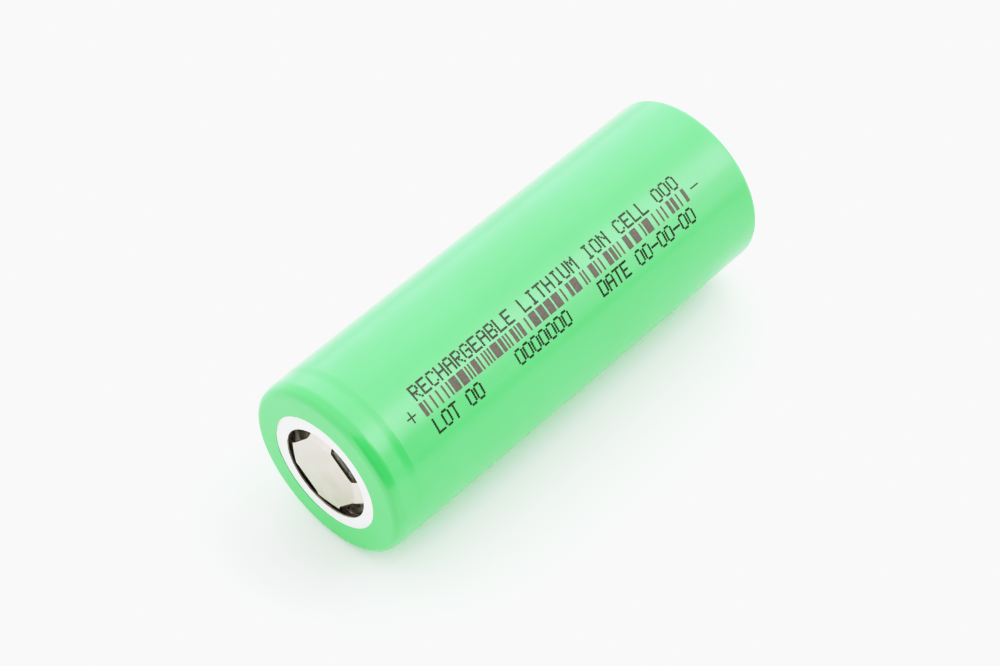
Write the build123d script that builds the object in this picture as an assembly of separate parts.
from build123d import *
import os

# A flat-top cylindrical lithium-ion cell lying on its side.
# Frame: millimetres, origin at the middle of the cell's axis, +Z up. The axis runs along Y,
# with the positive terminal at the -Y end. "Depth" is the distance inward from the plane
# of the positive end face, so depth 0 is y = -LENGTH / 2 and depth LENGTH is the other end.

# ---- overall ----
LENGTH = 71.0
CELL_R = 13.05

# ---- shrink sleeve ----
SLEEVE_T = 0.12
SLEEVE_FRONT_EDGE_R = 8.8
SLEEVE_BACK_EDGE_R = 10.6
FRONT_SHOULDER_R = 1.06
BACK_SHOULDER_R = 0.87
RIM_TAPER = 0.38
RIM_DROP = 0.05
RIM_START = 1.6
RIM_BEND_R = 2.7
WAIST_LOWEST = 3.9
WAIST_END = 5.05
WAIST_DROP = 0.1
WAIST_BEND_R = 8.0
WAIST_END_BEND_R = 0.4

# ---- steel can ----
CAN_T = 0.25
CAN_R = CELL_R - SLEEVE_T
LIP_EDGE_R = 9.6
LIP_SHOULDER_R = 1.2
LIP_TAPER = 0.1
COLLAR_DROP = 0.2
BEAD_FLOOR_R = 11.2
BEAD_WIDTH = 1.95
BEAD_MOUTH_BEND_R = 0.5
BEAD_FLOOR_BEND_R = 0.6
BOTTOM_PAD_R = 9.9
BOTTOM_STEP_R = 0.4
BOTTOM_STEP_H = 0.1
BOTTOM_STEP_BEND_R = 0.3

# ---- white insulating washer on the crimped lip ----
WASHER_T = 0.25
WASHER_HOLE_R = 6.95
WASHER_R = 11.6

# ---- closure stack, clamped between the crimped lip and the bead ----
GASKET_T = 0.5
GASKET_R = 12.4
GASKET_TOP_EDGE_R = 9.3
GASKET_FOOT_EDGE_R = 9.8
GASKET_TOP_CORNER_R = 1.0
GASKET_FOOT_CORNER_R = 0.45
STACK_R = 11.75

CAP_T = 0.4
CAP_RISE = 1.09
CAP_PLATEAU_R = 5.6
CAP_SKIRT_FOOT_R = 6.9
CAP_BEND_R = 0.35
CAP_LEGS = 4
CAP_LEG_W = 3.9
CAP_LEG_ANGLE = 5.5
WINDOW_CHORD = 5.2
WINDOW_OUTER_R = 7.5
WINDOW_CHORD_CORNER_R = 0.9
WINDOW_FOOT_CORNER_R = 0.5

PTC_T = 0.4
PTC_HOLE_R = 8.0

VENT_T = 0.35
VENT_CENTRE_R = 1.9
VENT_CENTRE_DROP = 1.05
VENT_STEP_R = 3.2
VENT_DISH_R = 7.2
VENT_DISH_DROP = 0.5
VENT_RIM_R = 8.2
VENT_BEND_R = 0.5
VENT_SCORE_R = 5.2
VENT_SCORE_W = 0.3

CID_RING_HOLE_R = 5.9
CID_RING_R = 8.1
CID_SKIRT_T = 0.5
CID_SKIRT_H = 0.6
CID_SKIRT_RISE = 0.2

ORIFICE_T = 0.4
ORIFICE_R = 7.4
ORIFICE_HOLE_R = 0.75
ORIFICE_HOLE_CIRCLE_R = 4.8
ORIFICE_HOLES = 6

# ---- wound roll ----
CORE_R = 2.25
ROLL_HALF_TURNS = 27
CATHODE_T = 0.31
ANODE_T = 0.27
SEPARATOR_T = 0.05
SHEET_GAP = 0.01
ROLL_TOP = 5.6
ROLL_LENGTH = 64.4
ANODE_SETBACK = 1.0
CATHODE_SETBACK = 2.0
CLOSING_TAPE_T = 0.06
CLOSING_TAPE_CLEARANCE = 0.03
CLOSING_TAPE_SETBACK = 1.5

# ---- insulating discs above and below the roll ----
DISC_T = 0.35
DISC_R = 12.2
UPPER_DISC_TOP = 5.15
LOWER_DISC_GAP = 0.1
DISC_HOLE_R = 2.3
DISC_VENT_R = 1.1
DISC_VENT_CIRCLE_R = 7.2
DISC_VENTS = 4

# ---- tabs ----
POSITIVE_TAB_T = 0.12
POSITIVE_TAB_W = 3.0
POSITIVE_TAB_X = 1.2
POSITIVE_TAB_REACH = 5.6
POSITIVE_TAB_WELD_END_X = -1.5
POSITIVE_TAB_FOLD_DEPTH = 4.6
POSITIVE_TAB_START_DEPTH = 46.0
POSITIVE_TAB_BEND_R = 0.3
NEGATIVE_TAB_T = 0.1
NEGATIVE_TAB_W = 4.0
NEGATIVE_TAB_START_DEPTH = 12.0
NEGATIVE_TAB_END_X = -2.0
NEGATIVE_TAB_BEND_R = 0.5
NEGATIVE_TAB_STEP_BEND_R = 0.3
NEGATIVE_TAB_CLEARANCE = 0.07
TAB_TAPE_T = 0.06
TAB_TAPE_MARGIN = 0.08
TAB_TAPE_LENGTH = 8.0
NEGATIVE_TAPE_W = 6.0

# ---- depths worked out from the sizes above ----
WASHER_TOP = SLEEVE_T
LIP_TOP = WASHER_TOP + WASHER_T
STACK_TOP = LIP_TOP + CAN_T
CAP_FLANGE_TOP = STACK_TOP + GASKET_T
PTC_TOP = CAP_FLANGE_TOP + CAP_T
VENT_TOP = PTC_TOP + PTC_T
GASKET_FOOT_TOP = VENT_TOP + VENT_T
BEAD_TOP = GASKET_FOOT_TOP + GASKET_T
VENT_CENTRE_BOTTOM = VENT_TOP + VENT_CENTRE_DROP + VENT_T
VENT_DISH_BOTTOM = VENT_TOP + VENT_DISH_DROP + VENT_T
ORIFICE_TOP = VENT_CENTRE_BOTTOM
ORIFICE_BOTTOM = ORIFICE_TOP + ORIFICE_T
CAN_RIM_BOTTOM = LENGTH - SLEEVE_T
CAN_PAD_BOTTOM = CAN_RIM_BOTTOM + BOTTOM_STEP_H
CAN_FLOOR = CAN_PAD_BOTTOM - CAN_T
CAN_BORE_R = CAN_R - CAN_T
ROLL_BOTTOM = ROLL_TOP + ROLL_LENGTH
ROLL_PITCH = CATHODE_T + ANODE_T + 2 * SEPARATOR_T + 4 * SHEET_GAP
OUTER_FILM_R = CORE_R + ANODE_T + 2 * (SEPARATOR_T + SHEET_GAP)
ROLL_R = OUTER_FILM_R + ROLL_PITCH * (2 * ROLL_HALF_TURNS - 1) / 4
CLOSING_TAPE_R = ROLL_R + CLOSING_TAPE_CLEARANCE + CLOSING_TAPE_T


def at(radius, depth):
    """A point of a turned profile: radius along X, depth along the cell's axis."""
    return (radius, depth - LENGTH / 2)


def turned(profile):
    """The solid swept by a profile turned once round the cell's axis."""
    return revolve(profile, Axis.Y)


def turned_block(inner_r, outer_r, top, bottom):
    """A plain turned ring or disc between two radii and two depths."""
    outline = Polyline(
        at(inner_r, top),
        at(outer_r, top),
        at(outer_r, bottom),
        at(inner_r, bottom),
        close=True,
    )
    return turned(make_face(outline))


def turned_sheet(points, bends, thickness):
    """A turned sheet of one thickness whose middle line runs through the points."""
    middle_line = FilletPolyline(*points, radius=bends)
    return turned(trace(middle_line, line_width=thickness))


def pillar(outline, top, bottom):
    """An outline drawn in X and Z, drawn out along the axis between two depths."""
    start_plane = Plane.XZ.offset(LENGTH / 2 - bottom)
    return extrude(start_plane * outline, amount=bottom - top)


# ---- outside of the cell ----


def sleeve():
    """Heat-shrink tube: tapered rim, drawn in slightly over the bead, folded over both ends."""
    half = SLEEVE_T / 2
    side = CELL_R - half
    points = [
        at(SLEEVE_FRONT_EDGE_R, half),
        at(side - RIM_TAPER, half),
        at(side - RIM_DROP, RIM_START),
        at(side - WAIST_DROP, WAIST_LOWEST),
        at(side, WAIST_END),
        at(side, LENGTH - half),
        at(SLEEVE_BACK_EDGE_R, LENGTH - half),
    ]
    bends = [
        FRONT_SHOULDER_R - half,
        RIM_BEND_R,
        WAIST_BEND_R,
        WAIST_END_BEND_R,
        BACK_SHOULDER_R - half,
    ]
    return turned_sheet(points, bends, SLEEVE_T)


def top_washer():
    """White washer that lies on the crimped lip, its outer part held under the sleeve."""
    return turned_block(WASHER_HOLE_R, WASHER_R, WASHER_TOP, LIP_TOP)


def can():
    """Drawn steel can: crimped lip, collar, rolled-in bead, straight wall and stepped bottom."""
    half = CAN_T / 2
    side = CAN_R - half
    bead_top = BEAD_TOP + half
    bead_bottom = bead_top + BEAD_WIDTH
    points = [
        at(LIP_EDGE_R, LIP_TOP + half),
        at(side - LIP_TAPER, LIP_TOP + half),
        at(side - COLLAR_DROP, bead_top),
        at(BEAD_FLOOR_R, bead_top),
        at(BEAD_FLOOR_R, bead_bottom),
        at(side, bead_bottom),
        at(side, CAN_RIM_BOTTOM - half),
        at(BOTTOM_PAD_R + BOTTOM_STEP_R, CAN_RIM_BOTTOM - half),
        at(BOTTOM_PAD_R, CAN_PAD_BOTTOM - half),
        at(0, CAN_PAD_BOTTOM - half),
    ]
    bottom_corner_r = BACK_SHOULDER_R - SLEEVE_T - half
    bends = [
        LIP_SHOULDER_R,
        BEAD_MOUTH_BEND_R,
        BEAD_FLOOR_BEND_R,
        BEAD_FLOOR_BEND_R,
        BEAD_MOUTH_BEND_R,
        bottom_corner_r,
        BOTTOM_STEP_BEND_R,
        BOTTOM_STEP_BEND_R,
    ]
    return turned_sheet(points, bends, CAN_T)


# ---- closure stack ----


def sealing_gasket():
    """C-shaped plastic gasket that seals and insulates the closure's rim from the can."""
    outline = Polyline(
        at(GASKET_TOP_EDGE_R, STACK_TOP),
        at(GASKET_R, STACK_TOP),
        at(GASKET_R, BEAD_TOP),
        at(GASKET_FOOT_EDGE_R, BEAD_TOP),
        at(GASKET_FOOT_EDGE_R, GASKET_FOOT_TOP),
        at(STACK_R, GASKET_FOOT_TOP),
        at(STACK_R, CAP_FLANGE_TOP),
        at(GASKET_TOP_EDGE_R, CAP_FLANGE_TOP),
        close=True,
    )
    face = make_face(outline)
    outer_corners = face.vertices().group_by(Axis.X)[-1].sort_by(Axis.Y)
    face = fillet(outer_corners[0], GASKET_TOP_CORNER_R)
    foot_corner = face.vertices().group_by(Axis.X)[-1].sort_by(Axis.Y)[-1]
    face = fillet(foot_corner, GASKET_FOOT_CORNER_R)
    return turned(face)


def cap_windows():
    """The openings stamped between the cap's legs, as an outline in X and Z."""
    leg_reach = 2 * STACK_R
    kept = Rectangle(leg_reach, CAP_LEG_W) + Rectangle(CAP_LEG_W, leg_reach)
    kept += Rot(Z=180 / CAP_LEGS) * Rectangle(2 * WINDOW_CHORD, 2 * WINDOW_CHORD)
    openings = Circle(WINDOW_OUTER_R) - kept
    corners = 2 * CAP_LEGS
    chord_corners = openings.vertices().sort_by(SortBy.DISTANCE)[:corners]
    openings = fillet(chord_corners, WINDOW_CHORD_CORNER_R)
    foot_corners = openings.vertices().sort_by(SortBy.DISTANCE)[-corners:]
    openings = fillet(foot_corners, WINDOW_FOOT_CORNER_R)
    return Rot(Z=CAP_LEG_ANGLE) * openings


def positive_cap():
    """Pressed steel cap: flat plateau on sloping legs, four vent windows and a clamped flange."""
    half = CAP_T / 2
    plateau = CAP_FLANGE_TOP - CAP_RISE + half
    flange = CAP_FLANGE_TOP + half
    points = [
        at(0, plateau),
        at(CAP_PLATEAU_R, plateau),
        at(CAP_SKIRT_FOOT_R, flange),
        at(STACK_R, flange),
    ]
    pressing = turned_sheet(points, [CAP_BEND_R, CAP_BEND_R], CAP_T)
    return pressing - pillar(cap_windows(), 0, PTC_TOP + CAP_T)


def ptc_ring():
    """Flat ring whose resistance rises with heat, in series under the cap's flange."""
    return turned_block(PTC_HOLE_R, STACK_R, PTC_TOP, VENT_TOP)


def vent_disc():
    """Scored aluminium burst disc, dished down to its weld on the orifice plate."""
    half = VENT_T / 2
    rim = VENT_TOP + half
    points = [
        at(0, rim + VENT_CENTRE_DROP),
        at(VENT_CENTRE_R, rim + VENT_CENTRE_DROP),
        at(VENT_STEP_R, rim + VENT_DISH_DROP),
        at(VENT_DISH_R, rim + VENT_DISH_DROP),
        at(VENT_RIM_R, rim),
        at(STACK_R, rim),
    ]
    bends = [VENT_BEND_R for _ in points[1:-1]]
    disc = turned_sheet(points, bends, VENT_T)
    dish_top = VENT_TOP + VENT_DISH_DROP
    score = Polyline(
        at(VENT_SCORE_R - VENT_SCORE_W / 2, dish_top),
        at(VENT_SCORE_R + VENT_SCORE_W / 2, dish_top),
        at(VENT_SCORE_R, dish_top + VENT_T / 2),
        close=True,
    )
    return disc - turned(make_face(score))


def cid_insulator():
    """Plastic ring that holds the orifice plate's rim off the burst disc."""
    skirt_top = ORIFICE_TOP - CID_SKIRT_RISE
    outline = Polyline(
        at(CID_RING_HOLE_R, VENT_DISH_BOTTOM),
        at(VENT_DISH_R - VENT_BEND_R, VENT_DISH_BOTTOM),
        at(VENT_DISH_R, skirt_top),
        at(CID_RING_R, skirt_top),
        at(CID_RING_R, ORIFICE_TOP + CID_SKIRT_H),
        at(CID_RING_R - CID_SKIRT_T, ORIFICE_TOP + CID_SKIRT_H),
        at(CID_RING_R - CID_SKIRT_T, ORIFICE_TOP),
        at(CID_RING_HOLE_R, ORIFICE_TOP),
        close=True,
    )
    return turned(make_face(outline))


def orifice_plate():
    """Aluminium plate with a ring of gas holes; the positive tab is welded to its underside."""
    plate = turned_block(0, ORIFICE_R, ORIFICE_TOP, ORIFICE_BOTTOM)
    first_angle = 180 / ORIFICE_HOLES
    holes = Sketch() + [
        hole_place * Circle(ORIFICE_HOLE_R)
        for hole_place in PolarLocations(ORIFICE_HOLE_CIRCLE_R, ORIFICE_HOLES, first_angle)
    ]
    return plate - pillar(holes, ORIFICE_TOP, ORIFICE_BOTTOM)


# ---- wound roll ----


def spiral_edges(start_r, first_half_turn, last_half_turn):
    """Half circles about two centres; each is half a pitch larger than the one before."""
    centre_shift = ROLL_PITCH / 4
    edges = []
    for half_turn in range(first_half_turn, last_half_turn):
        is_lower = half_turn % 2
        centre_x = centre_shift if is_lower else -centre_shift
        radius = start_r + half_turn * ROLL_PITCH / 2
        edges.append(CenterArc((centre_x, 0), radius, 180 * is_lower, 180))
    return edges


def wound_sheet(inner_offset, thickness, skipped_start, skipped_end, top, bottom):
    """One sheet of the roll, wound from the core outward at its own place in the pitch."""
    first = skipped_start
    last = ROLL_HALF_TURNS - skipped_end
    inner = spiral_edges(CORE_R + inner_offset, first, last)
    outer = spiral_edges(CORE_R + inner_offset + thickness, first, last)
    start_end = Line(inner[0] @ 0, outer[0] @ 0)
    finish_end = Line(inner[-1] @ 1, outer[-1] @ 1)
    return pillar(make_face(inner + outer + [start_end, finish_end]), top, bottom)


def separator(inner_offset):
    """Porous plastic film, wider and longer than both electrodes."""
    return wound_sheet(inner_offset, SEPARATOR_T, 0, 0, ROLL_TOP, ROLL_BOTTOM)


def anode_sheet(inner_offset):
    """Coated copper foil, wider than the cathode it faces."""
    top = ROLL_TOP + ANODE_SETBACK
    bottom = ROLL_BOTTOM - ANODE_SETBACK
    return wound_sheet(inner_offset, ANODE_T, 1, 1, top, bottom)


def cathode_sheet(inner_offset):
    """Coated aluminium foil, the narrowest sheet of the roll."""
    top = ROLL_TOP + CATHODE_SETBACK
    bottom = ROLL_BOTTOM - CATHODE_SETBACK
    return wound_sheet(inner_offset, CATHODE_T, 2, 2, top, bottom)


def roll_sheets():
    """The four sheets of the roll by node name, stacked outward within one pitch."""
    first_film = 0
    anode = first_film + SEPARATOR_T + SHEET_GAP
    second_film = anode + ANODE_T + SHEET_GAP
    cathode = second_film + SEPARATOR_T + SHEET_GAP
    return {
        "separator_inner": separator(first_film),
        "anode_sheet": anode_sheet(anode),
        "separator_outer": separator(second_film),
        "cathode_sheet": cathode_sheet(cathode),
    }


def roll_closing_tape():
    """Adhesive film wrapped once round the finished roll."""
    top = ROLL_TOP + CLOSING_TAPE_SETBACK
    bottom = ROLL_BOTTOM - CLOSING_TAPE_SETBACK
    return turned_block(CLOSING_TAPE_R - CLOSING_TAPE_T, CLOSING_TAPE_R, top, bottom)


# ---- insulating discs ----


def insulating_disc(top):
    """Fibre disc with a centre hole and a ring of gas holes."""
    disc = turned_block(DISC_HOLE_R, DISC_R, top, top + DISC_T)
    holes = Sketch() + [
        hole_place * Circle(DISC_VENT_R)
        for hole_place in PolarLocations(DISC_VENT_CIRCLE_R, DISC_VENTS, 180 / DISC_VENTS)
    ]
    return disc - pillar(holes, top, top + DISC_T)


# ---- tabs ----


def positive_tab():
    """Aluminium strip from the roll's core, folded once and laid under the orifice plate."""
    half = POSITIVE_TAB_T / 2
    weld_depth = ORIFICE_BOTTOM + half
    path = FilletPolyline(
        at(POSITIVE_TAB_X, POSITIVE_TAB_START_DEPTH),
        at(POSITIVE_TAB_X, POSITIVE_TAB_FOLD_DEPTH),
        at(POSITIVE_TAB_REACH, POSITIVE_TAB_FOLD_DEPTH),
        at(POSITIVE_TAB_REACH, weld_depth),
        at(POSITIVE_TAB_WELD_END_X, weld_depth),
        radius=POSITIVE_TAB_BEND_R,
    )
    strip = trace(path, line_width=POSITIVE_TAB_T)
    return extrude(strip, amount=POSITIVE_TAB_W / 2, both=True)


def positive_tab_tape():
    """Insulating tape wrapped round the positive tab where it leaves the roll."""
    hole_t = POSITIVE_TAB_T
    outer_t = POSITIVE_TAB_T + 2 * TAB_TAPE_T
    outer_w = POSITIVE_TAB_W + 2 * TAB_TAPE_MARGIN
    wrap = Rectangle(outer_t, outer_w) - Rectangle(hole_t, POSITIVE_TAB_W)
    return pillar(Pos(POSITIVE_TAB_X, 0) * wrap, ROLL_TOP, ROLL_TOP + TAB_TAPE_LENGTH)


def negative_tab():
    """Nickel strip down the outside of the roll, turned in and welded to the can's bottom."""
    half = NEGATIVE_TAB_T / 2
    wall_x = CLOSING_TAPE_R + NEGATIVE_TAB_CLEARANCE + half
    rim_depth = CAN_RIM_BOTTOM - CAN_T - half
    pad_depth = CAN_FLOOR - half
    path = FilletPolyline(
        at(wall_x, NEGATIVE_TAB_START_DEPTH),
        at(wall_x, rim_depth),
        at(BOTTOM_PAD_R, rim_depth),
        at(BOTTOM_PAD_R - BOTTOM_STEP_R, pad_depth),
        at(NEGATIVE_TAB_END_X, pad_depth),
        radius=[NEGATIVE_TAB_BEND_R, NEGATIVE_TAB_STEP_BEND_R, NEGATIVE_TAB_STEP_BEND_R],
    )
    strip = trace(path, line_width=NEGATIVE_TAB_T)
    return extrude(strip, amount=NEGATIVE_TAB_W / 2, both=True)


def negative_tab_tape():
    """Insulating tape over the negative tab, curved along the can's wall."""
    outer_r = CAN_BORE_R - SHEET_GAP
    inner_r = outer_r - TAB_TAPE_T
    ring = Circle(outer_r) - Circle(inner_r)
    band = Pos(outer_r, 0) * Rectangle(outer_r, NEGATIVE_TAPE_W)
    bottom = ROLL_BOTTOM - CLOSING_TAPE_SETBACK
    return pillar(ring & band, bottom - TAB_TAPE_LENGTH, bottom)


NODES = {
    "sleeve": sleeve(),
    "top_washer": top_washer(),
    "can": can(),
    "sealing_gasket": sealing_gasket(),
    "positive_cap": positive_cap(),
    "ptc_ring": ptc_ring(),
    "vent_disc": vent_disc(),
    "cid_insulator": cid_insulator(),
    "orifice_plate": orifice_plate(),
    "positive_tab": positive_tab(),
    "positive_tab_tape": positive_tab_tape(),
    "upper_insulator": insulating_disc(UPPER_DISC_TOP),
    **roll_sheets(),
    "roll_closing_tape": roll_closing_tape(),
    "negative_tab": negative_tab(),
    "negative_tab_tape": negative_tab_tape(),
    "lower_insulator": insulating_disc(ROLL_BOTTOM + LOWER_DISC_GAP),
}

os.makedirs("parts", exist_ok=True)
for name, solid in NODES.items():
    export_step(solid, f"parts/{name}.step")
